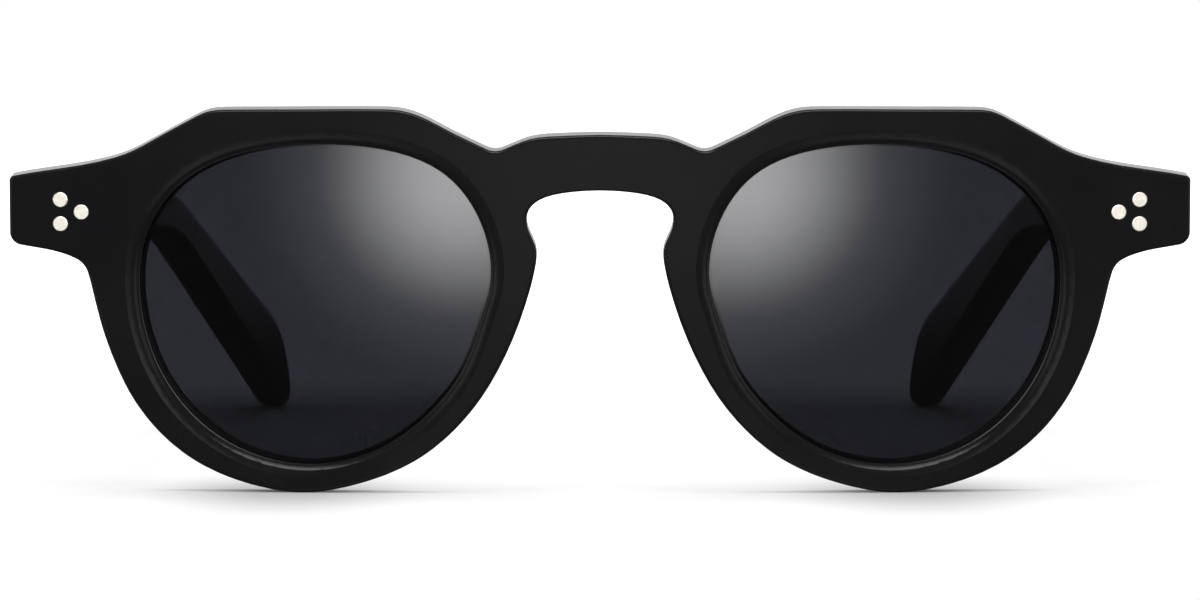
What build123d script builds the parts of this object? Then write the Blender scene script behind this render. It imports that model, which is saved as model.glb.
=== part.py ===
from build123d import *
import os
from math import acos, asin, atan2, cos, degrees, hypot, pi, radians, sin, sqrt

# Round acetate sunglasses, open, standing on their rims and temple tips.
# Millimetres and degrees. +Z is up, the front faces -Y, the temples run back
# along +Y, and +X is the wearer's left.

# Front
FRONT_WIDTH = 145.9
FRONT_HEIGHT = 47.66
FRONT_THICKNESS = 4.6
FACE_RADIUS = 420.0  # the front is bent round an upright axis this far behind it
FRONT_LEAN = 4.0  # the top of the front comes towards the viewer
FRONT_EDGE_ROUNDING = 0.4
END_PIECE_DEPTH = 6.4  # front to back over the hinge
END_PIECE_SLANT = 1.6  # width of the sloping step behind each end piece
END_TOP_ROUNDING = 0.6
END_LOW_ROUNDING = 1.6
END_BACK_DROP = 0.5  # behind the front itself each end piece is this much lower on top
OVERRUN = 2.0  # how far each cutter runs past what it cuts
TOUCHING = 0.05  # edges closer than this to a surface lie on it
EDGE_TEST_SHARES = (0.1, 0.5, 0.9)

# Eye openings
EYE_SPREAD = 70.73  # from the middle of one lens to the middle of the other
EYE_HEIGHT = 39.83
EYE_CENTRE_HEIGHT = 23.32
BAND_WIDTH = 1.9  # mean width of the rolled band round each opening
BAND_SWING = 0.3  # the band is this much wider on top and narrower below
BAND_DEPTH = 0.62
BAND_RISE = 0.02  # the band's first line lies this far above the face, so that the cut meets it
BAND_SHARES = (1.0, 0.72, 0.45, 0.2, 0.0)  # places across the band, from outside to the lip
LIP_WIDTH = 0.22
LIP_FALL = 0.08
WALL_DRAFT = 0.05
BACK_LIP_REACH = 0.42  # behind the lens the wall stands this much further in

# Lenses
LENS_THICKNESS = 1.9
LENS_RADIUS = 200.0
LENS_SETBACK = 0.9  # from the face to the middle of the lens
BEVEL_HEIGHT = 0.8
BEVEL_WIDTH = 0.9
LENS_CLEARANCE = 0.05
GROOVE_SHIFT = 0.15  # the bevel lies this far behind the middle of the lens edge

# Nose pads
PAD_LENGTH = 16.4
PAD_WIDTH = 4.2
PAD_DEPTH = 5.4
PAD_TILT = 19.0
PAD_FLARE = 1.5
PAD_CENTRE_X = 11.9
PAD_CENTRE_HEIGHT = 21.78
PAD_SECTIONS = 6
PAD_LAST_TURN = radians(80)  # the round back edge ends in a small flat here
PAD_FULLNESS_SHARE = 0.5

# Hinges
BARREL_RADIUS = 1.2
BARREL_HEIGHT = 4.3
KNUCKLES = 5
KNUCKLE_GAP = 0.05
LEAF_THICKNESS = 1.0
FRONT_LEAF_REACH = 4.8  # from the axis towards the nose
TEMPLE_LEAF_REACH = 8.4  # from the axis backwards
HINGE_GAP = 0.1  # free space between end piece and temple, and beside the barrels
SCREW_RADIUS = 0.6
SCREW_CLEARANCE = 0.03
SCREW_HEAD_RADIUS = 0.92
SCREW_HEAD_HEIGHT = 0.5
SCREW_SLOT_WIDTH = 0.3
SCREW_SLOT_DEPTH = 0.25

# Rivets
RIVET_HEAD_RADIUS = 0.94
RIVET_HEAD_HEIGHT = 0.5
RIVET_PROUD = 0.12
RIVET_EDGE = 0.1
RIVET_SHANK_RADIUS = 0.5
RIVET_SPACING = 3.0
FRONT_RIVET_INSET = 6.35  # from the side of the end piece to the outer pair
FRONT_RIVET_HEIGHT = 34.51
TEMPLE_RIVET_START = 3.2  # from the hinge axis to the first pair

# Temples
TEMPLE_THICKNESS = 4.8
TEMPLE_START_HEIGHT = 7.3
TEMPLE_WAIST_HEIGHT = 6.6
TEMPLE_TIP_HEIGHT = 10.4
TEMPLE_STRAIGHT = 62.0
TEMPLE_BEND_RADIUS = 47.0
TEMPLE_BEND = 17.0
TEMPLE_TAIL = 53.6  # from the end of the bend to the start of the round tip
TEMPLE_TURN = 9.8  # each open temple runs this much inwards
TEMPLE_ROUNDING = 1.8
TIP_TOP_RADIUS = 18.5  # the upper edge of each tip curves down to the small round of its end
TIP_LOW_RADIUS = 2.5

# Core wires
CORE_START = 12.0
CORE_HEIGHT = 2.4
CORE_THICKNESS = 1.2
CORE_CLEARANCE = 0.02

# Outline of the front as shares of half the width and of the height, on the wearer's left side.
# The top runs from the middle of the bridge to the upper corner of the end piece.
TOP_SHARES = [
    (0.0, 0.9355),
    (0.068, 0.9325),
    (0.1192, 0.9235),
    (0.1524, 0.9035),
    (0.1775, 0.8928),
    (0.2015, 0.9054),
    (0.2523, 0.943),
    (0.3023, 0.9818),
    (0.3367, 0.997),
    (0.3711, 1.0),
    (0.4988, 0.998),
    (0.6235, 0.9955),
    (0.66, 0.9899),
    (0.6954, 0.9648),
    (0.7463, 0.9216),
    (0.7981, 0.8791),
    (0.8316, 0.8619),
    (0.8833, 0.8441),
    (1.0, 0.8124),
]
# The lower edge runs from the lower corner of the end piece round the rim to the bridge.
LOW_SHARES = [
    (1.0, 0.6412),
    (0.9312, 0.6228),
    (0.8976, 0.6086),
    (0.8813, 0.5962),
    (0.8709, 0.5794),
    (0.8652, 0.557),
    (0.8558, 0.4971),
    (0.8413, 0.4135),
    (0.8212, 0.3298),
    (0.7941, 0.2459),
    (0.7534, 0.1629),
    (0.6875, 0.0799),
    (0.5912, 0.019),
    (0.4937, 0.0),
    (0.4107, 0.023),
    (0.31, 0.0878),
    (0.2422, 0.1728),
    (0.1975, 0.2577),
    (0.1659, 0.3415),
    (0.1414, 0.4257),
    (0.1223, 0.5098),
    (0.1086, 0.5935),
    (0.1065, 0.6256),
    (0.1089, 0.6476),
    (0.1206, 0.6897),
    (0.1234, 0.7144),
    (0.1207, 0.7371),
    (0.1107, 0.7569),
    (0.0833, 0.7773),
    (0.0503, 0.7865),
    (0.0, 0.791),
]
# Radius of an eye opening as shares of half its height, evenly spaced from the nose over the top.
EYE_SHARES = [
    1.067, 1.1543, 1.156, 1.0556, 0.9985, 1.0288, 1.1034, 1.1265,
    1.0849, 1.0531, 1.034, 1.0169, 1.001, 0.9842, 0.9785, 1.0065,
]

HALF_WIDTH = FRONT_WIDTH / 2
EYE_RADIUS = EYE_HEIGHT / 2
BACK_RADIUS = FACE_RADIUS - FRONT_THICKNESS


def face_depth(x):
    """How far the bent face lies behind its foremost line at the distance x from it."""
    return FACE_RADIUS - sqrt(FACE_RADIUS**2 - x**2)


# The places that the other pieces follow
END_MIDDLE_HEIGHT = (TOP_SHARES[-1][1] + LOW_SHARES[0][1]) / 2 * FRONT_HEIGHT
AXIS_TO_INNER_FACE = BARREL_RADIUS + HINGE_GAP
OUTER_FACE = AXIS_TO_INNER_FACE + TEMPLE_THICKNESS
TEMPLE_MIDDLE = (AXIS_TO_INNER_FACE + OUTER_FACE) / 2
TURN = radians(TEMPLE_TURN)
HINGE_X = HALF_WIDTH - (OUTER_FACE + BARREL_RADIUS * sin(TURN)) / cos(TURN)
HINGE_LOCAL_Y = face_depth(HINGE_X) + END_PIECE_DEPTH + AXIS_TO_INNER_FACE
LEAN = radians(FRONT_LEAN)
HINGE_Y = HINGE_LOCAL_Y * cos(LEAN) - END_MIDDLE_HEIGHT * sin(LEAN)
HINGE_Z = HINGE_LOCAL_Y * sin(LEAN) + END_MIDDLE_HEIGHT * cos(LEAN)

# The side view of the temple beyond its bend, and its round tip
BEND = radians(TEMPLE_BEND)
TIP_HALF = TEMPLE_TIP_HEIGHT / 2
TIP_STEP = TIP_TOP_RADIUS - TIP_LOW_RADIUS
TIP_TURN = acos((TIP_TOP_RADIUS + TIP_LOW_RADIUS - TEMPLE_TIP_HEIGHT) / TIP_STEP)
TIP_ALONG = TEMPLE_TAIL + TIP_STEP * sin(TIP_TURN)


def beyond_bend(along, across):
    """A point of the temple's side view, along and across the straight part behind its bend."""
    return Vector(
        0,
        TEMPLE_STRAIGHT + (TEMPLE_BEND_RADIUS + across) * sin(BEND) + along * cos(BEND),
        (TEMPLE_BEND_RADIUS + across) * cos(BEND) - TEMPLE_BEND_RADIUS - along * sin(BEND),
    )


# The temples slope down just so far that their round tips reach the table
TIP_MIDDLE = beyond_bend(TIP_ALONG, TIP_LOW_RADIUS - TIP_HALF)
TIP_BACK = TIP_MIDDLE.Y
TIP_DROP = -TIP_MIDDLE.Z
TIP_REACH = TIP_BACK * cos(TURN) + TEMPLE_MIDDLE * sin(TURN)
RIM_ROUNDING_DROP = FRONT_EDGE_ROUNDING * (1 - sin(LEAN) - cos(LEAN))
RIM_FLOOR = face_depth(EYE_SPREAD / 2) * sin(LEAN) - RIM_ROUNDING_DROP
FALL = HINGE_Z - RIM_FLOOR - TIP_LOW_RADIUS
TEMPLE_SLOPE = degrees(atan2(TIP_REACH, TIP_DROP) - acos(FALL / hypot(TIP_REACH, TIP_DROP)))

FRONT_PLACE = Rot(FRONT_LEAN, 0, 0)
EYE_X = EYE_SPREAD / 2
EYE_TURN = degrees(asin(EYE_X / FACE_RADIUS))
EYE_PLACE = FRONT_PLACE * Pos(EYE_X, face_depth(EYE_X), EYE_CENTRE_HEIGHT) * Rot(0, 0, EYE_TURN)
HINGE_PLACE = Pos(HINGE_X, HINGE_Y, HINGE_Z) * Rot(-TEMPLE_SLOPE, 0, 0)
TEMPLE_PLACE = HINGE_PLACE * Rot(0, 0, TEMPLE_TURN)


def span_box(x_range, y_range, z_range):
    """A box from its lowest and highest values along X, Y and Z."""
    sizes = [high - low for low, high in (x_range, y_range, z_range)]
    middles = [(high + low) / 2 for low, high in (x_range, y_range, z_range)]
    return Pos(*middles) * Box(*sizes)


# Front
def outline_edge(shares):
    """One smooth edge through the shares and their mirror image."""
    half = [Vector(x * HALF_WIDTH, 0, z * FRONT_HEIGHT) for x, z in shares]
    if shares[0][0] == 0:
        half.reverse()
    other = [Vector(-point.X, 0, point.Z) for point in reversed(half[:-1])]
    return Spline(half + other)


def upright_cylinder(radius):
    """A cylinder about the axis that the front is bent round."""
    return Pos(0, FACE_RADIUS, FRONT_HEIGHT / 2) * Cylinder(radius, FRONT_HEIGHT + 2 * OVERRUN)


def behind_end_piece():
    """The space behind the back of the end piece, which lies square to the temple."""
    far = END_PIECE_DEPTH + FRONT_HEIGHT
    wide = (-HALF_WIDTH, HALF_WIDTH)
    return HINGE_PLACE * span_box(wide, (-AXIS_TO_INNER_FACE, far), (-far, far))


def outline_edges(solid, radius):
    """The edges of a solid that lie on the upright cylinder of this radius."""
    found = ShapeList()
    for edge in solid.edges():
        places = [edge @ share for share in EDGE_TEST_SHARES]
        at_middle = all(place.X < TOUCHING for place in places)
        misses = [hypot(place.X, place.Y - FACE_RADIUS) - radius for place in places]
        if max(misses) < TOUCHING and min(misses) > -TOUCHING and not at_middle:
            found.append(edge)
    return found


def half_blank():
    """The wearer's left half of the bent front with its thicker end piece."""
    top = outline_edge(TOP_SHARES)
    low = outline_edge(LOW_SHARES)
    sides = [Line(top @ 0, low @ 0), Line(top @ 1, low @ 1)]
    outline = Face(Wire([top, sides[0], low, sides[1]]))
    for height, rounding in ((top @ 0).Z, END_TOP_ROUNDING), ((low @ 0).Z, END_LOW_ROUNDING):
        corners = [corner for corner in outline.vertices() if abs(corner.Z - height) < TOUCHING]
        outline = outline.fillet_2d(rounding, corners)
    deep = HINGE_LOCAL_Y + OVERRUN
    prism = Pos(0, -OVERRUN, 0) * Solid.extrude(outline, Vector(0, deep + OVERRUN, 0))
    around = (-FRONT_WIDTH, FRONT_WIDTH)
    prism &= span_box((0, FRONT_WIDTH), around, around)
    slab = prism & upright_cylinder(FACE_RADIUS) - upright_cylinder(BACK_RADIUS)
    slab = fillet(outline_edges(slab, BACK_RADIUS), FRONT_EDGE_ROUNDING)
    slab = fillet(outline_edges(slab, FACE_RADIUS), FRONT_EDGE_ROUNDING)
    inner = HINGE_X - FRONT_LEAF_REACH - LEAF_THICKNESS
    within = face_depth(HALF_WIDTH) + 2 * FRONT_EDGE_ROUNDING
    back = face_depth(inner) + FRONT_THICKNESS
    plan = Polyline(
        (inner - END_PIECE_SLANT, within),
        (inner - END_PIECE_SLANT, back - FRONT_EDGE_ROUNDING),
        (inner, back + END_PIECE_SLANT),
        (inner, deep),
        (HALF_WIDTH + OVERRUN, deep),
        (HALF_WIDTH + OVERRUN, within),
        close=True,
    )
    block = prism & Pos(0, 0, -END_BACK_DROP) * prism
    return slab + (block & Solid.extrude(Face(Wire(plan)), Vector(0, 0, FRONT_HEIGHT)))


def eye_wire(offset, depth, follow=True, band_share=0.0):
    """A closed curve round the opening: offset outwards, at a depth behind the face.

    It follows the bent face, or lies flat. The band share moves it out by that
    share of the rolled band's width, which swings with the height round the eye.
    """
    points = []
    for i, share in enumerate(EYE_SHARES):
        angle = 2 * pi * i / len(EYE_SHARES)
        band = BAND_WIDTH + BAND_SWING * sin(angle)
        radius = share * EYE_RADIUS + offset + band_share * band
        x = -radius * cos(angle)
        z = radius * sin(angle)
        points.append((x, depth + (face_depth(x) if follow else 0), z))
    return Wire(Spline(points, periodic=True))


LENS_SAG = LENS_RADIUS - sqrt(LENS_RADIUS**2 - EYE_RADIUS**2)
GROOVE_MIDDLE = LENS_SETBACK + LENS_SAG + LENS_THICKNESS / 2 + GROOVE_SHIFT
GROOVE_WIDTH = BEVEL_WIDTH + 2 * LENS_CLEARANCE
LENS_INSET = WALL_DRAFT + LENS_CLEARANCE
LENS_BACK_INSET = BACK_LIP_REACH + LENS_CLEARANCE


def flat_plate(offset, low, high):
    """A flat plate of the eye's outline between two depths."""
    return Solid.extrude(Face(eye_wire(offset, low, False)), Vector(0, high - low, 0))


def eye_cutter():
    """The space inside one rim: rolled band, lip, drafted wall and lens groove.

    Across the band the depth follows a quarter of an ellipse, level with the face
    outside and upright at the lip.
    """
    band = []
    for share in BAND_SHARES:
        depth = BAND_DEPTH * (1 - sqrt(1 - (1 - share) ** 2)) - BAND_RISE
        band.append(eye_wire(LIP_WIDTH, depth, True, share))
    before = [eye_wire(BEVEL_HEIGHT, -OVERRUN, False, 1.0), band[0]]
    wall = [
        band[-1],
        eye_wire(0, BAND_DEPTH + LIP_FALL, True),
        eye_wire(-WALL_DRAFT, GROOVE_MIDDLE, False),
        eye_wire(-BACK_LIP_REACH, GROOVE_MIDDLE + GROOVE_WIDTH / 4, False),
        eye_wire(-BACK_LIP_REACH, FRONT_THICKNESS + 2 * OVERRUN, False),
    ]
    faces = Shell.make_loft(before, True).faces()
    faces += Shell.make_loft(band, False).faces()
    faces += Shell.make_loft(wall, True).faces()
    faces += [Face(before[0]), Face(wall[-1])]
    space = Solid(Shell(faces))
    groove = flat_plate(
        BEVEL_HEIGHT - WALL_DRAFT - LENS_CLEARANCE,
        GROOVE_MIDDLE - GROOVE_WIDTH / 2,
        GROOVE_MIDDLE + GROOVE_WIDTH / 2,
    )
    return space, groove


def front_piece():
    """The acetate front, milled for the lenses, the hinge leaves and the rivets."""
    half = FRONT_PLACE * half_blank() - behind_end_piece()
    space, groove = eye_cutter()
    cuts = [EYE_PLACE * space, EYE_PLACE * groove, front_leaf_plate()]
    for cut in cuts + front_rivet_shanks() + front_rivet_heads():
        half -= cut
    return half + mirror(half, Plane.YZ)


# Lens
def lens():
    """A meniscus lens with a bevel round its edge, kept in the groove."""
    bevel_start = GROOVE_MIDDLE - BEVEL_WIDTH / 2
    bevel_end = GROOVE_MIDDLE + BEVEL_WIDTH / 2
    ridge = BEVEL_HEIGHT - LENS_INSET - LENS_CLEARANCE
    bevel = Solid.make_loft(
        [
            eye_wire(-LENS_INSET, bevel_start, False),
            eye_wire(ridge, GROOVE_MIDDLE, False),
            eye_wire(-LENS_BACK_INSET, bevel_end, False),
        ],
        True,
    )
    body = flat_plate(-LENS_INSET, -OVERRUN, bevel_start) + bevel
    body += flat_plate(-LENS_BACK_INSET, bevel_end, FRONT_THICKNESS + OVERRUN)
    body &= Pos(0, LENS_SETBACK + LENS_RADIUS, 0) * Sphere(LENS_RADIUS)
    body -= Pos(0, LENS_SETBACK + LENS_RADIUS, 0) * Sphere(LENS_RADIUS - LENS_THICKNESS)
    return EYE_PLACE * body


# Nose pad
def nose_pad():
    """A pad that widens away from the nose behind the rim it is glued to."""
    tilt = radians(PAD_TILT)
    start = FRONT_THICKNESS / 2
    sections = []
    for i in range(PAD_SECTIONS):
        turn = PAD_LAST_TURN * i / (PAD_SECTIONS - 1)
        reach = sin(turn) / sin(PAD_LAST_TURN)
        share = cos(turn) ** PAD_FULLNESS_SHARE
        x = PAD_CENTRE_X + reach * PAD_FLARE
        y = start + reach * (start + PAD_DEPTH)
        plane = Plane(
            origin=(x, y, PAD_CENTRE_HEIGHT),
            x_dir=(-sin(tilt), 0, cos(tilt)),
            z_dir=(0, 1, 0),
        )
        sections.append(plane * Ellipse(share * PAD_LENGTH / 2, share * PAD_WIDTH / 2))
    return FRONT_PLACE * (loft(sections) & upright_cylinder(BACK_RADIUS))


# Hinge
KNUCKLE_HEIGHT = (BARREL_HEIGHT - (KNUCKLES - 1) * KNUCKLE_GAP) / KNUCKLES
SCREW_BORE = SCREW_RADIUS + SCREW_CLEARANCE


def front_leaf_plate():
    """The plate let into the back of the end piece."""
    return HINGE_PLACE * span_box(
        (-FRONT_LEAF_REACH, AXIS_TO_INNER_FACE - 2 * HINGE_GAP),
        (-AXIS_TO_INNER_FACE - LEAF_THICKNESS, -AXIS_TO_INNER_FACE),
        (-BARREL_HEIGHT / 2, BARREL_HEIGHT / 2),
    )


def temple_leaf_plate():
    """The plate let into the inner face of the temple."""
    return TEMPLE_PLACE * span_box(
        (AXIS_TO_INNER_FACE, AXIS_TO_INNER_FACE + LEAF_THICKNESS),
        (-BARREL_RADIUS, TEMPLE_LEAF_REACH),
        (-BARREL_HEIGHT / 2, BARREL_HEIGHT / 2),
    )


def knuckles(first, place, web_x, web_y):
    """Every second knuckle of the barrel with the web that joins it to its plate."""
    found = []
    for i in range(first, KNUCKLES, 2):
        low = -BARREL_HEIGHT / 2 + i * (KNUCKLE_HEIGHT + KNUCKLE_GAP)
        barrel = Pos(0, 0, low + KNUCKLE_HEIGHT / 2) * Cylinder(BARREL_RADIUS, KNUCKLE_HEIGHT)
        web = span_box(web_x, web_y, (low, low + KNUCKLE_HEIGHT))
        found.append(place * (barrel + web))
    return found


def screw_bore():
    """The bore for the screw, with the seat for its head in the top knuckle."""
    bore = Cylinder(SCREW_BORE, BARREL_HEIGHT + OVERRUN)
    seat_floor = BARREL_HEIGHT / 2 - SCREW_HEAD_HEIGHT
    seat = Pos(0, 0, seat_floor + OVERRUN / 2) * Cylinder(SCREW_HEAD_RADIUS + SCREW_CLEARANCE, OVERRUN)
    return HINGE_PLACE * (bore + seat)


def front_leaf():
    web_x = (-BARREL_RADIUS, BARREL_RADIUS)
    leaf = front_leaf_plate()
    for knuckle in knuckles(0, HINGE_PLACE, web_x, (-AXIS_TO_INNER_FACE, 0)):
        leaf += knuckle
    leaf -= screw_bore()
    for hole in front_rivet_shanks():
        leaf -= hole
    return leaf


def temple_leaf():
    web_y = (-BARREL_RADIUS, BARREL_RADIUS)
    leaf = temple_leaf_plate()
    for knuckle in knuckles(1, TEMPLE_PLACE, (0, AXIS_TO_INNER_FACE), web_y):
        leaf += knuckle
    leaf -= screw_bore()
    for hole in temple_rivet_shanks():
        leaf -= hole
    return leaf


def hinge_screw():
    """A slotted screw whose head lies flush in the top knuckle."""
    top = BARREL_HEIGHT / 2
    seat = top - SCREW_HEAD_HEIGHT
    shank = Pos(0, 0, (seat - top) / 2) * Cylinder(SCREW_RADIUS, top + seat)
    head = Pos(0, 0, (seat + top) / 2) * Cylinder(SCREW_HEAD_RADIUS, SCREW_HEAD_HEIGHT)
    slot = Pos(0, 0, top) * Box(2 * SCREW_HEAD_RADIUS + OVERRUN, SCREW_SLOT_WIDTH, 2 * SCREW_SLOT_DEPTH)
    return HINGE_PLACE * (shank + head - slot)


# Rivets
def triangle():
    """Three rivets at equal spacing: how far along and how far up each one is."""
    return [
        (0, RIVET_SPACING / 2),
        (0, -RIVET_SPACING / 2),
        (RIVET_SPACING * sin(radians(60)), 0),
    ]


def front_rivet_shanks():
    """Shanks square to the front, from the face to the back of the end piece."""
    length = HINGE_LOCAL_Y + OVERRUN
    found = []
    for along, up in triangle():
        x = HALF_WIDTH - FRONT_RIVET_INSET - along
        z = FRONT_RIVET_HEIGHT + up
        shank = Pos(x, length / 2, z) * Rot(90, 0, 0) * Cylinder(RIVET_SHANK_RADIUS, length)
        found.append(FRONT_PLACE * shank)
    return found


def front_rivet_heads():
    """Flat heads let into the face, which they follow a little proud of it."""
    found = []
    proud = upright_cylinder(FACE_RADIUS + RIVET_PROUD)
    for along, up in triangle():
        x = HALF_WIDTH - FRONT_RIVET_INSET - along
        z = FRONT_RIVET_HEIGHT + up
        inside = face_depth(x) + RIVET_HEAD_HEIGHT
        head = Pos(x, inside / 2, z) * Rot(90, 0, 0) * Cylinder(RIVET_HEAD_RADIUS, inside)
        head &= proud
        head = fillet(head.edges().sort_by(Axis.Y)[0], RIVET_EDGE)
        found.append(FRONT_PLACE * head)
    return found


def front_rivets():
    face = FRONT_PLACE * upright_cylinder(FACE_RADIUS)
    found = []
    for shank, head in zip(front_rivet_shanks(), front_rivet_heads()):
        found.append((shank & face) - behind_end_piece() + head)
    return found


def temple_rivet_shanks():
    """Shanks across the temple, from its leaf to its outer face."""
    found = []
    length = TEMPLE_THICKNESS
    for along, up in triangle():
        place = Pos(TEMPLE_MIDDLE, TEMPLE_RIVET_START + along, up)
        shank = place * Rot(0, 90, 0) * Cylinder(RIVET_SHANK_RADIUS, length)
        found.append(TEMPLE_PLACE * shank)
    return found


def temple_rivet_heads():
    found = []
    length = RIVET_HEAD_HEIGHT + RIVET_PROUD
    for along, up in triangle():
        middle = OUTER_FACE + RIVET_PROUD - length / 2
        place = Pos(middle, TEMPLE_RIVET_START + along, up)
        head = place * Rot(0, 90, 0) * Cylinder(RIVET_HEAD_RADIUS, length)
        head = fillet(head.edges().sort_by(Axis.X)[-1], RIVET_EDGE)
        found.append(TEMPLE_PLACE * head)
    return found


def temple_rivets():
    return [shank + head for shank, head in zip(temple_rivet_shanks(), temple_rivet_heads())]


# Temple
def ribbon(start, heights, tails, end, x_range):
    """A flat bar along the temple's middle line.

    The heights are its start, its waist at the bend and its tail. The tails are the
    lengths of its upper and lower edges beyond the bend, and the end joins these.
    """
    first, waist, last = [height / 2 for height in heights]
    bend_centre = Vector(0, TEMPLE_STRAIGHT, -TEMPLE_BEND_RADIUS)
    ways = [Vector(0, sin(turn), cos(turn)) for turn in (0, BEND / 2, BEND)]
    edges = list(end)
    starts = []
    for side, tail in zip((1, -1), tails):
        radius = TEMPLE_BEND_RADIUS + side * waist
        arc = [bend_centre + way * radius for way in ways]
        starts.append(Vector(0, start, side * first))
        edges.append(Line(starts[-1], arc[0]))
        edges.append(ThreePointArc(*arc))
        edges.append(Line(arc[-1], beyond_bend(tail, side * last)))
    edges.append(Line(*starts))
    low, high = x_range
    return Pos(low, 0, 0) * Solid.extrude(Face(Wire(edges)), Vector(high - low, 0, 0))


def round_tip():
    """The curved end of the temple: a long arc above and a small one below."""
    arcs = []
    for along, across, radius, turns in (
        (TEMPLE_TAIL, TIP_HALF - TIP_TOP_RADIUS, TIP_TOP_RADIUS, (0, TIP_TURN)),
        (TIP_ALONG, TIP_LOW_RADIUS - TIP_HALF, TIP_LOW_RADIUS, (TIP_TURN, pi)),
    ):
        turns = (turns[0], sum(turns) / 2, turns[1])
        places = [(along + radius * sin(turn), across + radius * cos(turn)) for turn in turns]
        arcs.append(ThreePointArc(*[beyond_bend(*place) for place in places]))
    return arcs


def temple():
    """The acetate temple with its leaf pocket, rivet holes and core bore."""
    heights = (TEMPLE_START_HEIGHT, TEMPLE_WAIST_HEIGHT, TEMPLE_TIP_HEIGHT)
    tails = (TEMPLE_TAIL, TIP_ALONG)
    blank = ribbon(-2 * OVERRUN, heights, tails, round_tip(), (AXIS_TO_INNER_FACE, OUTER_FACE))
    sides = blank.faces().filter_by(Axis.X)
    blank = TEMPLE_PLACE * fillet(sides.edges(), TEMPLE_ROUNDING)
    ahead = HINGE_PLACE * span_box(
        (-OVERRUN, FRONT_WIDTH),
        (-FRONT_WIDTH, -BARREL_RADIUS),
        (-FRONT_HEIGHT, FRONT_HEIGHT),
    )
    blank = blank - ahead - temple_leaf_plate() - core_wire(CORE_CLEARANCE)
    for cut in temple_rivet_shanks() + temple_rivet_heads():
        blank -= cut
    return blank


def core_wire(clearance=0.0):
    """The flat wire that stiffens the temple."""
    height = CORE_HEIGHT + 2 * clearance
    half = CORE_THICKNESS / 2 + clearance
    x_range = (TEMPLE_MIDDLE - half, TEMPLE_MIDDLE + half)
    tail = TEMPLE_TAIL + clearance
    end = [Line(beyond_bend(tail, height / 2), beyond_bend(tail, -height / 2))]
    return TEMPLE_PLACE * ribbon(CORE_START - clearance, (height,) * 3, (tail, tail), end, x_range)


def one_side():
    """Every piece on the wearer's left side but the front, by name."""
    pieces = {
        "lens": lens(),
        "nose_pad": nose_pad(),
        "front_hinge_leaf": front_leaf(),
        "temple_hinge_leaf": temple_leaf(),
        "hinge_screw": hinge_screw(),
        "temple": temple(),
        "core_wire": core_wire(),
    }
    for i, rivet in enumerate(front_rivets()):
        pieces[f"front_rivet_{i + 1}"] = rivet
    for i, rivet in enumerate(temple_rivets()):
        pieces[f"temple_rivet_{i + 1}"] = rivet
    return pieces


def assemble():
    """All pieces, standing on the table with the middle of their box at the origin."""
    pieces = {"front": front_piece()}
    for name, piece in one_side().items():
        pieces[f"left_{name}"] = piece
        pieces[f"right_{name}"] = mirror(piece, Plane.YZ)
    box = Compound(list(pieces.values())).bounding_box()
    home = Pos(0, -(box.min.Y + box.max.Y) / 2, -box.min.Z)
    return {name: home * piece for name, piece in pieces.items()}, home


def main():
    os.makedirs("parts", exist_ok=True)
    pieces, home = assemble()
    for name, piece in pieces.items():
        export_step(piece, f"parts/{name}.step")
    axis = home * HINGE_PLACE
    print("hinge axis at", axis.position, "slope", TEMPLE_SLOPE, "home", home.position)


main()
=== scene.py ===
# %% [markdown]
# These are round acetate sunglasses, open and standing on their rims and temple tips.
# The pieces could be modelled again here, but the exact ones are the part itself, so
# they are loaded in their real places and sizes. The front faces -Y, and +X is the
# wearer's left. What is left for Blender is how the pieces look, so this lesson is
# about a studio, polished acetate, a tinted lens and small bright metal.

import bpy
import numpy as np
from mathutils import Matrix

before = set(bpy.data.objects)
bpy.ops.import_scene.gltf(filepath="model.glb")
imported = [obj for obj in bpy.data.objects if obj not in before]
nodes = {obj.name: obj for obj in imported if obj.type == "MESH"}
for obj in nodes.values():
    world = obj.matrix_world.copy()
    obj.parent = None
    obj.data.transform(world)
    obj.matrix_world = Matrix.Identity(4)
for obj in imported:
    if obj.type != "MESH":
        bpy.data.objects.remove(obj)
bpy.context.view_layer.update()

# %% [markdown]
# The photograph looks at the front from about 0.9 m, a little above it. A short lens
# from nearby would make the bridge large and the end pieces small, so a long lens is
# used. It points at the middle of the picture, so no shift is needed.

# %% Camera
CAMERA_PLACE = (0.0, -0.9723, 0.07814)  # metres
CAMERA_DOWN = 3.4463  # degrees below level
FOCAL_LENGTH = 219.75  # millimetres
SENSOR_WIDTH = 36.0  # millimetres
NEAREST_SEEN = 0.01  # metres

camera_data = bpy.data.cameras.new("camera")
camera_data.lens = FOCAL_LENGTH
camera_data.sensor_width = SENSOR_WIDTH
camera_data.clip_start = NEAREST_SEEN
camera = bpy.data.objects.new("camera", camera_data)
camera.location = CAMERA_PLACE
camera.rotation_euler = (np.radians(90 - CAMERA_DOWN), 0, 0)
bpy.context.scene.collection.objects.link(camera)
bpy.context.scene.camera = camera
bpy.context.scene.view_settings.view_transform = "Standard"

# %% [markdown]
# A material is a small network of nodes. It could be wired one line at a time, but
# then its idea is lost among the links. One function adds a node with its settings
# and inputs, so that each finish below reads as a list of its parts.


# %% Colours and nodes
def linear(hex_code):
    """sRGB hex to linear: v / 12.92 below 0.04045, else ((v + 0.055) / 1.055) to the power 2.4."""
    v = np.array([int(hex_code[i : i + 2], 16) for i in (1, 3, 5)]) / 255
    return np.where(v <= 0.04045, v / 12.92, ((v + 0.055) / 1.055) ** 2.4)


def colour(hex_code):
    """The linear colour with full opacity, as a socket wants it."""
    return (*linear(hex_code), 1.0)


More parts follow.
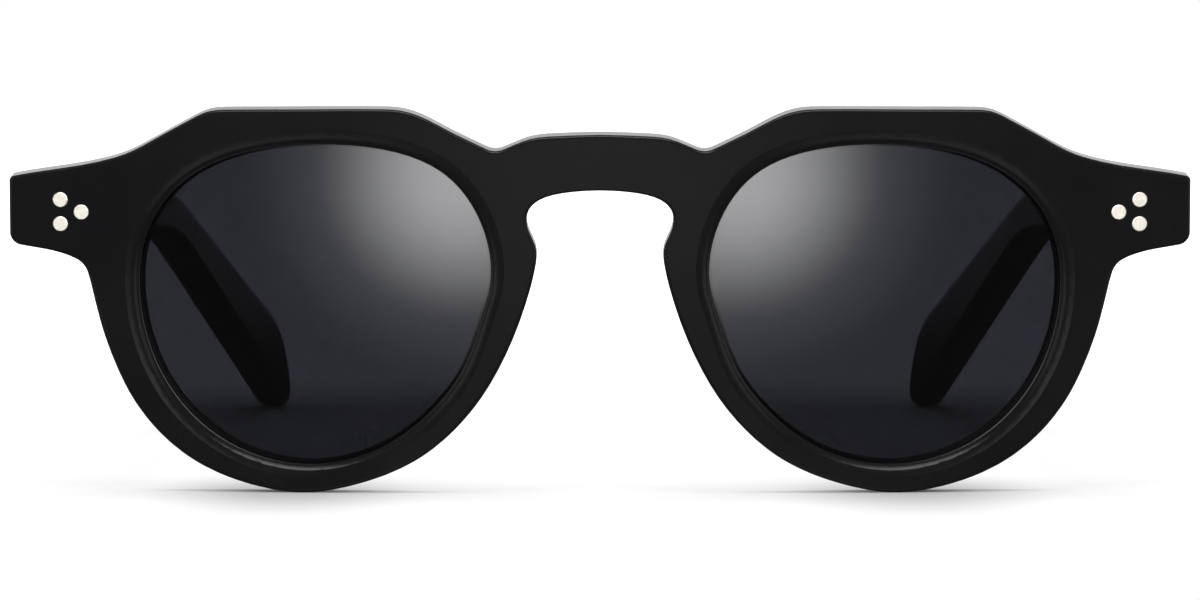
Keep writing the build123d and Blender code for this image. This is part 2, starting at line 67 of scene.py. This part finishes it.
def add(tree, kind, inputs=None, tones=None, **settings):
    """A node of this kind with its settings and inputs.

    An input is a value or what feeds it: an output, or a node, whose first output is meant.
    Tones are the hex codes of a colour ramp, by their places along it.
    """
    node = tree.nodes.new("ShaderNode" + kind)
    for name, value in settings.items():
        setattr(node, name, value)
    if tones:
        for stop, (position, hex_code) in zip(node.color_ramp.elements, tones.items()):
            stop.position = position
            stop.color = colour(hex_code)
    for name, value in (inputs or {}).items():
        if isinstance(value, bpy.types.Node):
            value = value.outputs[0]
        if isinstance(value, bpy.types.NodeSocket):
            tree.links.new(value, node.inputs[name])
        else:
            node.inputs[name].default_value = value
    return node


print("middle grey in linear light is", np.round(linear("#808080"), 4).tolist())

# %% [markdown]
# The photograph shows black plastic on white, and its lights are seen only as
# reflections. They could be lamps or lit cards. Here each one is a patch of the world
# that only shiny surfaces see, because a patch can fade out softly and does not light
# the table. One round lamp straight ahead is the pale glow in the upper inner quarter
# of each lens, since the lenses are shallow mirrors. The others lay a faint sheen on
# the lips, the rolled bands and the temples. Between them the room is dim, so that
# black stays black.

# %% Lights that only show in reflections
# each one's direction, the angles in degrees from there at which it starts to fade and
# is gone, its level, and how much wider it is across
STUDIO_LIGHTS = {
    "ceiling": ((0, 0.1, 1), (15, 50), 0.14, 1.0),
    "box above the camera": ((0, -1, 2.0), (10, 20), 2.8, 1.6),
    "right front wall": ((-1, -0.58, 0.1), (12, 33), 0.38, 1.0),
    "left front wall": ((1, -0.58, 0.1), (12, 33), 0.38, 1.0),
    "right back box": ((-1, 0.5, 0.8), (12, 26), 1.0, 1.0),
    "left back box": ((1, 0.5, 0.8), (12, 26), 1.0, 1.0),
    "lit table ahead": ((0, -1, -0.9), (8, 20), 0.3, 1.0),
    "round lamp": ((0, -1, -0.02), (1.0, 12.2), 0.76, 1.02),
    "halo of the round lamp": ((0, -1, -0.02), (7.5, 17.5), 0.1, 1.05),
    "white backdrop": ((0, 1, 0.05), (16, 30), 1.0, 1.0),
}
DIM_ROOM = 0.007  # what is mirrored where there is no light
S_CURVE = "SMOOTHSTEP"

world = bpy.data.worlds.new("studio")
bpy.context.scene.world = world
world.use_nodes = True
sky = world.node_tree
sky.nodes.clear()
direction = add(sky, "TexCoord").outputs["Generated"]


def between(value, span, levels):
    """Inputs that turn a value at either end of the span into one of the two levels."""
    names = ("Value", "From Min", "From Max", "To Min", "To Max")
    return dict(zip(names, (value, *span, *levels)))


def glow(towards, angles, level, wide):
    """The level of one light as seen along the ray's direction.

    The angle from the light is the arc cosine of the two unit vectors' dot product,
    after the ray's sideways part is divided by how much wider the light is across.
    """
    squeezed = add(sky, "VectorMath", {0: direction, 1: (1 / wide, 1, 1)}, operation="MULTIPLY")
    unit = add(sky, "VectorMath", {0: squeezed}, operation="NORMALIZE")
    aim = tuple(np.array(towards) / np.linalg.norm(towards))
    cosine = add(sky, "VectorMath", {0: unit, 1: aim}, operation="DOT_PRODUCT").outputs["Value"]
    angle = add(sky, "Math", {0: cosine}, operation="ARCCOSINE")
    fade = between(angle, np.radians(angles), (level, 0.0))
    return add(sky, "MapRange", fade, interpolation_type=S_CURVE)


mirrored = DIM_ROOM
for light in STUDIO_LIGHTS.values():
    mirrored = add(sky, "Math", {0: mirrored, 1: glow(*light)}, operation="ADD")
print(len(STUDIO_LIGHTS), "lights that only show in reflections")

# %% [markdown]
# The camera has to see plain white round the glasses, also through the lenses. The
# world could simply be white, but then every black surface would turn grey. So it
# asks what kind of ray looks at it: the camera sees white, a mirrored ray sees the
# lights above, and all other rays find an even light. A ray that was mirrored on its
# way through a lens counts as mirrored.

# %% World
WHITE = colour("#ffffff")
EVEN_LIGHT = 0.62  # what matt surfaces find all round


def straight_through(tree, rays):
    """1 for a ray that came through a lens without being mirrored on the way."""
    fade = between(rays["Glossy Depth"], (0.0, 1.0), (1.0, 0.0))
    unmirrored = add(tree, "MapRange", fade, interpolation_type=S_CURVE)
    return add(tree, "Math", {0: unmirrored, 1: rays["Is Transmission Ray"]}, operation="MULTIPLY")


rays = add(sky, "LightPath").outputs
seen = add(sky, "Math", {0: rays["Is Camera Ray"], 1: straight_through(sky, rays)}, operation="ADD")
white = add(sky, "Background", {"Color": WHITE, "Strength": 1.0})
even = add(sky, "Background", {"Color": WHITE, "Strength": EVEN_LIGHT})
lights = add(sky, "Background", {"Color": WHITE, "Strength": mirrored})
unseen = add(sky, "MixShader", {"Fac": rays["Is Glossy Ray"], 1: even, 2: lights})
picture = add(sky, "MixShader", {"Fac": seen, 1: unseen, 2: white})
add(sky, "OutputWorld", {"Surface": picture})
print("the studio's world has", len(sky.nodes), "nodes")

# %% [markdown]
# A world alone gives flat light. Two large soft lamps give the room its shape: one
# overhead, which also makes the shadow on the table, and a fill from the camera's
# side. A third, smaller one stands low in front for the rivet heads. They could be
# spots, but a square area lamp has a size, and that sets how soft its shadow is.

# %% Lamps
LAMPS = {  # place and aim in metres, side in metres, power in watts
    "overhead lamp": ((0, -0.1, 0.9), (0, 0, 0.02), 0.7, 3.5),
    "fill lamp": ((0, -1.3, 0.5), (0, 0, 0.02), 0.8, 2.5),
    "catch light": ((0, -0.62, 0.28), (0, -0.07, 0.03), 0.3, 6.5),
}


def lamp(name, place, aim, side, power):
    """A square area lamp, tilted and turned so that it faces its aim."""
    data = bpy.data.lights.new(name, "AREA")
    data.size = side
    data.energy = power
    holder = bpy.data.objects.new(name, data)
    holder.location = place
    way = np.array(aim) - np.array(place)
    tilt = np.arctan2(np.hypot(way[0], way[1]), -way[2])
    holder.rotation_euler = (tilt, 0, np.arctan2(-way[0], way[1]))
    holder.visible_camera = False
    holder.visible_glossy = False
    bpy.context.scene.collection.objects.link(holder)
    return holder


lamps = {name: lamp(name, *setting) for name, setting in LAMPS.items()}
lamps["catch light"].visible_glossy = True
print("lamps:", ", ".join(lamps))

# %% [markdown]
# The glasses stand on a large sheet of white card. A plain lit card would end in a
# grey edge against the white world, so away from the glasses the card also glows and
# runs into the backdrop. Close to them it hardly glows, which paints a soft contact
# shadow round the rims, deeper than the lamps alone would cast.

# %% The sheet of card
TABLE_SIDE = 1.4  # metres, from the middle to either side and to the far edge
TABLE_FRONT = -0.2  # metres along Y

table_mesh = bpy.data.meshes.new("table")
x = np.array([-TABLE_SIDE, TABLE_SIDE, TABLE_SIDE, -TABLE_SIDE])
y = np.array([TABLE_FRONT, TABLE_FRONT, TABLE_SIDE, TABLE_SIDE])
table_mesh.from_pydata(np.stack([x, y, 0 * x], axis=1).tolist(), [], [(0, 1, 2, 3)])
table = bpy.data.objects.new("table", table_mesh)
bpy.context.scene.collection.objects.link(table)

card = bpy.data.materials.new("white card")
card.use_nodes = True
table_mesh.materials.append(card)
paper = card.node_tree
paper.nodes.clear()
spot = add(paper, "TexCoord").outputs["Object"]
axes = add(paper, "SeparateXYZ", {0: spot}).outputs
print("card from", TABLE_FRONT, "to", TABLE_SIDE, "m")

# %% [markdown]
# The rims touch the card at two spots, and round them the card is painted darker as a
# contact shadow. A texture could hold this painted shadow, but a distance does it with
# no picture. The glow grows with the distance from the nearer spot, which counts less
# along the line of sight, and with that from the middle.

# %% The card as the camera sees it
RIM_SPOT = (0.039, -0.075)  # metres, on the wearer's left; the other is its mirror image
RIM_SPOT_LENGTH = 0.45  # distances along Y count this much
# where the glow is low round the spots, the card carries a painted contact shadow
RIM_PAINTED_SHADOW_FADE = ((0.001, 0.02), (0.1, 1.0))  # metres from a spot, and the share of the glow there
OUTER_FADE = ((0.14, 0.34), (0.34, 0.95))  # metres from the middle, and the glow there
CAMERA_CARD = "#e7e7e7"


def card_with_glow(hex_code, strength):
    """Diffuse card of this grey, plus its own light."""
    matt = add(paper, "BsdfDiffuse", {"Color": colour(hex_code)})
    light = add(paper, "Emission", {"Color": WHITE, "Strength": strength})
    return add(paper, "AddShader", {0: matt, 1: light})


across = add(paper, "Math", {0: axes["X"]}, operation="ABSOLUTE")
aside = add(paper, "Math", {0: across, 1: RIM_SPOT[0]}, operation="SUBTRACT")
ahead = add(paper, "Math", {0: axes["Y"], 1: RIM_SPOT[1]}, operation="SUBTRACT")
shortened = add(paper, "Math", {0: ahead, 1: RIM_SPOT_LENGTH}, operation="MULTIPLY")
to_spot = add(paper, "CombineXYZ", {"X": aside, "Y": shortened})
fades = []
for way, fade in ((spot, OUTER_FADE), (to_spot, RIM_PAINTED_SHADOW_FADE)):
    distance = add(paper, "VectorMath", {0: way}, operation="LENGTH").outputs["Value"]
    fades.append(add(paper, "MapRange", between(distance, *fade), interpolation_type=S_CURVE))
# less glow round the rim spots is a painted contact shadow
glow_with_painted_shadow = add(paper, "Math", {0: fades[0], 1: fades[1]}, operation="MULTIPLY")
for_camera = card_with_glow(CAMERA_CARD, glow_with_painted_shadow)
print("contact shadow round", RIM_SPOT, "on both sides")

# %% [markdown]
# Through a lens the card could look the same, but the photograph shows it darker: grey
# as far back as the temple tips and pale beyond. Towards its front edge it turns pale
# too, so that this edge does not show through a lens from behind. The acetate would
# mirror white card as grey, so a mirrored ray finds no card in front of the glasses,
# and behind them a dark one that turns pale further off.

# %% The card as lenses and mirrors see it
LENS_CARD = "#bcbcbc"
BEHIND_TIPS = ((0.066, 0.125), (0.0, 0.5))  # metres along Y, and the glow there
TOWARDS_FRONT = ((-0.19, -0.08), (0.42, 0.0))
MIRROR_GLOW = ((0.16, 0.42), (0.06, 0.85))
MIRROR_START = ((-0.075, -0.02), (0.0, 1.0))  # metres along Y, and how solid the card is there
BOUNCE_CARD = "#c4c4c5"

levels = []
for fade in (BEHIND_TIPS, TOWARDS_FRONT, MIRROR_GLOW, MIRROR_START):
    levels.append(add(paper, "MapRange", between(axes["Y"], *fade), interpolation_type=S_CURVE))
behind_tips, near_front, mirror_glow, solid = levels
lens_glow = add(paper, "Math", {0: behind_tips, 1: near_front}, operation="ADD")
for_lens = card_with_glow(LENS_CARD, lens_glow)
clear = add(paper, "BsdfTransparent")
pale = add(paper, "Emission", {"Color": WHITE, "Strength": mirror_glow})
for_mirrors = add(paper, "MixShader", {"Fac": solid, 1: clear, 2: pale})

look = add(paper, "BsdfDiffuse", {"Color": colour(BOUNCE_CARD)})
rays = add(paper, "LightPath").outputs
# a ray through a lens also counts as glossy, so its look comes last
for ray, other in (
    (rays["Is Camera Ray"], for_camera),
    (rays["Is Glossy Ray"], for_mirrors),
    (straight_through(paper, rays), for_lens),
):
    look = add(paper, "MixShader", {"Fac": ray, 1: look, 2: other})
add(paper, "OutputMaterial", {"Surface": look})
print("the card has", len(paper.nodes), "nodes")

# %% [markdown]
# Cellulose acetate sheet is milled, tumbled for days with wood chips and then
# buffed. That leaves no grain, only a very slight waviness and a soft sheen. A single
# black would look like paint, so noise moves its tone, its gloss and, barely, its
# surface. Whatever of the front is seen through a lens turns a darker matt black: the
# milled grooves there are matt, and the darker black is painted shade for the groove.

# %% Black acetate
MILLIMETRES = 1000.0  # in a metre, which is Blender's unit
NOISE_SPAN = (0.3, 0.7)  # noise seldom leaves this span
ACETATE_IOR = 1.49
ACETATE_WAVE = 3.846  # millimetres from one wave of the surface to the next
ACETATE_WAVE_HEIGHT = 0.0001  # metres
ACETATE_WAVE_STRENGTH = 0.03
ACETATE_HAZE = 11.11  # millimetres across a hazier patch
ACETATE_TONES = {0.35: "#1c1c1e", 0.65: "#1f1f20"}  # by the haze
ACETATE_GLOSS = (0.18, 0.23)  # roughness, by the haze
# the darker black of the front seen through a lens: painted shade for the groove
GROOVE_SHADE_BLACK = "#0a0a0a"


def new_material(name):
    """An empty material, its tree, and the place on the object in metres."""
    material = bpy.data.materials.new(name)
    material.use_nodes = True
    tree = material.node_tree
    tree.nodes.clear()
    return material, tree, add(tree, "TexCoord").outputs["Object"]


def noise_inputs(place, size, detail):
    """Inputs of a noise whose patches are this many millimetres across."""
    return {"Vector": place, "Scale": MILLIMETRES / size, "Detail": detail}


def black_acetate(name, matt_shaded_grooves):
    """Polished black acetate. With matt grooves, what is seen of it through a lens is a darker matt
    black, painted shade for the groove.
    """
    material, tree, place = new_material(name)
    waves = add(tree, "TexNoise", noise_inputs(place, ACETATE_WAVE, 2.0))
    haze = add(tree, "TexNoise", noise_inputs(place, ACETATE_HAZE, 4.0))
    gloss = between(haze, NOISE_SPAN, ACETATE_GLOSS)
    relief = {"Height": waves, "Strength": ACETATE_WAVE_STRENGTH, "Distance": ACETATE_WAVE_HEIGHT}
    skin = {
        "Base Color": add(tree, "ValToRGB", {"Fac": haze}, ACETATE_TONES),
        "Roughness": add(tree, "MapRange", gloss, interpolation_type=S_CURVE),
        "Normal": add(tree, "Bump", relief),
        "IOR": ACETATE_IOR,
    }
    finish = add(tree, "BsdfPrincipled", skin)
    # what is seen through a lens gets painted groove shade, a darker matt black
    if matt_shaded_grooves:
        depth = add(tree, "LightPath").outputs["Transmission Depth"]
        fade = between(depth, (0.0, 1.0), (0.0, 1.0))
        behind = add(tree, "MapRange", fade, interpolation_type=S_CURVE)
        milled = add(tree, "BsdfDiffuse", {"Color": colour(GROOVE_SHADE_BLACK)})
        finish = add(tree, "MixShader", {"Fac": behind, 1: finish, 2: milled})
    add(tree, "OutputMaterial", {"Surface": finish})
    return material


front_acetate = black_acetate("black cellulose acetate with painted groove shade", True)
acetate = black_acetate("tumbled black cellulose acetate", False)
print("made", front_acetate.name, "and", acetate.name)

# %% [markdown]
# The lens is grey dyed resin, and seen from the front it lets about a fortieth of the
# white backdrop through. A weak mirror coat lies on its outer face only, so that it
# throws back the round lamp in front and yet stays dark from behind. It could be a
# glossy black plate, but then the temples would not show through it. Its edge is
# ground to a matt bevel that sits in the groove of the rim, and its near-black colour
# is painted shade for that groove, which shows as a black ring.

# %% Tinted lens
RESIN_IOR = 1.5
COAT_IOR = 4.0  # no clear coat is so dense: it stands for the thin metal of a weak mirror
DYE_DRIFT = 83.33  # millimetres over which the dye gets a little deeper
DYE_TONES = {0.3: "#42444d", 0.7: "#43454e"}
# the near-black of the ground lens edge is painted shade for the rim's groove
GROUND_EDGE_SHADE_BLACK = "#060607"
OUTER_FACE = ((-0.5, -0.3), (1.0, 0.0))  # the normal's Y, and how much coat there is
POLISHED_FACES = ((0.91, 0.95), (0.0, 1.0))  # the size of the normal's Y, and how polished it is


def tinted_lens(name):
    """Clear tinted resin on both faces, coated on the outer one, and matt round the edge, where a
    near-black is painted shade for the groove.
    """
    material, tree, place = new_material(name)
    normal = add(tree, "TexCoord").outputs["Normal"]
    facing = add(tree, "SeparateXYZ", {0: normal}).outputs["Y"]
    square_on = add(tree, "Math", {0: facing}, operation="ABSOLUTE")
    polished = between(square_on, *POLISHED_FACES)
    polished = add(tree, "MapRange", polished, interpolation_type=S_CURVE)
    dye = add(tree, "TexNoise", noise_inputs(place, DYE_DRIFT, 1.0))
    coat = between(facing, *OUTER_FACE)
    body = {
        "Base Color": add(tree, "ValToRGB", {"Fac": dye}, DYE_TONES),
        "Roughness": 0.0,
        "IOR": RESIN_IOR,
        "Transmission Weight": 1.0,
        "Coat Weight": add(tree, "MapRange", coat, interpolation_type=S_CURVE),
        "Coat Roughness": 0.0,
        "Coat IOR": COAT_IOR,
    }
    resin = add(tree, "BsdfPrincipled", body)
    # matt lens edge in near-black: painted shade for the groove
    ground = add(tree, "BsdfDiffuse", {"Color": colour(GROUND_EDGE_SHADE_BLACK)})
    whole = add(tree, "MixShader", {"Fac": polished, 1: ground, 2: resin})
    add(tree, "OutputMaterial", {"Surface": whole})
    return material


lens_resin = tinted_lens("grey dyed resin with a weak mirror coat")
print("made", lens_resin.name)

# %% [markdown]
# The rivets are nickel silver with polished heads a little proud of the acetate. The
# hinge leaves are stamped steel, tumbled dull, and their screws are plated and
# brighter. The core wires are hidden in the temples. One flat grey would do for pieces
# so small, but a metal tints what it mirrors and its scratches spread it, so these four
# differ in tint and in roughness. Real buffing lines are about a hundredth of a
# millimetre apart, and they are drawn coarser here so that they show.

# %% Metals
METALS = {  # tint, roughness, millimetres from one scratch to the next
    "polished nickel silver": ("#f6f1e6", 0.5, 0.15),  # a warm, evenly pale disc
    "tumbled stamped steel": ("#b9b9ba", 0.38, 0.2),  # a dull grey
    "nickel plated steel": ("#d6d4cf", 0.22, 0.2),  # smooth and bright
    "drawn nickel silver": ("#c9c4b8", 0.3, 0.25),  # yellower and a little dull
}
SCRATCH_DEPTH = 0.00002  # metres
SCRATCH_STRENGTH = 0.1
SCRATCH_SHARES = (0.8, 1.25)  # the least and the most roughness as shares of its mean


def metal(name, tint, roughness, spacing):
    """A metal whose noise moves its roughness and dents its surface alike."""
    material, tree, place = new_material(name)
    lines = add(tree, "TexNoise", noise_inputs(place, spacing, 3.0))
    dull = between(lines, NOISE_SPAN, [share * roughness for share in SCRATCH_SHARES])
    relief = {"Height": lines, "Strength": SCRATCH_STRENGTH, "Distance": SCRATCH_DEPTH}
    skin = {
        "Base Color": colour(tint),
        "Metallic": 1.0,
        "Roughness": add(tree, "MapRange", dull),
        "Normal": add(tree, "Bump", relief),
    }
    add(tree, "OutputMaterial", {"Surface": add(tree, "BsdfPrincipled", skin)})
    return material


metals = {name: metal(name, *looks) for name, looks in METALS.items()}
print("made", ", ".join(metals))

# %% [markdown]
# The pieces could be listed one by one. Their names already say what they are, so a
# word in the name chooses the finish, and all that is left is acetate: the temples,
# the nose pads and, with its matt grooves in painted shade, the front.

# %% Every piece gets its finish
FINISHES = {
    "lens": lens_resin,
    "rivet": metals["polished nickel silver"],
    "leaf": metals["tumbled stamped steel"],
    "screw": metals["nickel plated steel"],
    "core": metals["drawn nickel silver"],
}
for name, node in nodes.items():
    finish = next((f for word, f in FINISHES.items() if word in name), acetate)
    if name == "front":
        finish = front_acetate
    for slot in node.material_slots:
        slot.material = finish
    print(name, "is", finish.name)

# %% [markdown]
# The rivet heads are tiny and flat, and the studio in front of them is dim, so they
# would look grey. More light in front would lift the black acetate too. Light linking
# lets the catch light reach the rivets and nothing else.

# %% Catch light for the rivets
bright_metal = bpy.data.collections.new("bright metal")
for name, node in nodes.items():
    if "rivet" in name:
        bright_metal.objects.link(node)
lamps["catch light"].light_linking.receiver_collection = bright_metal
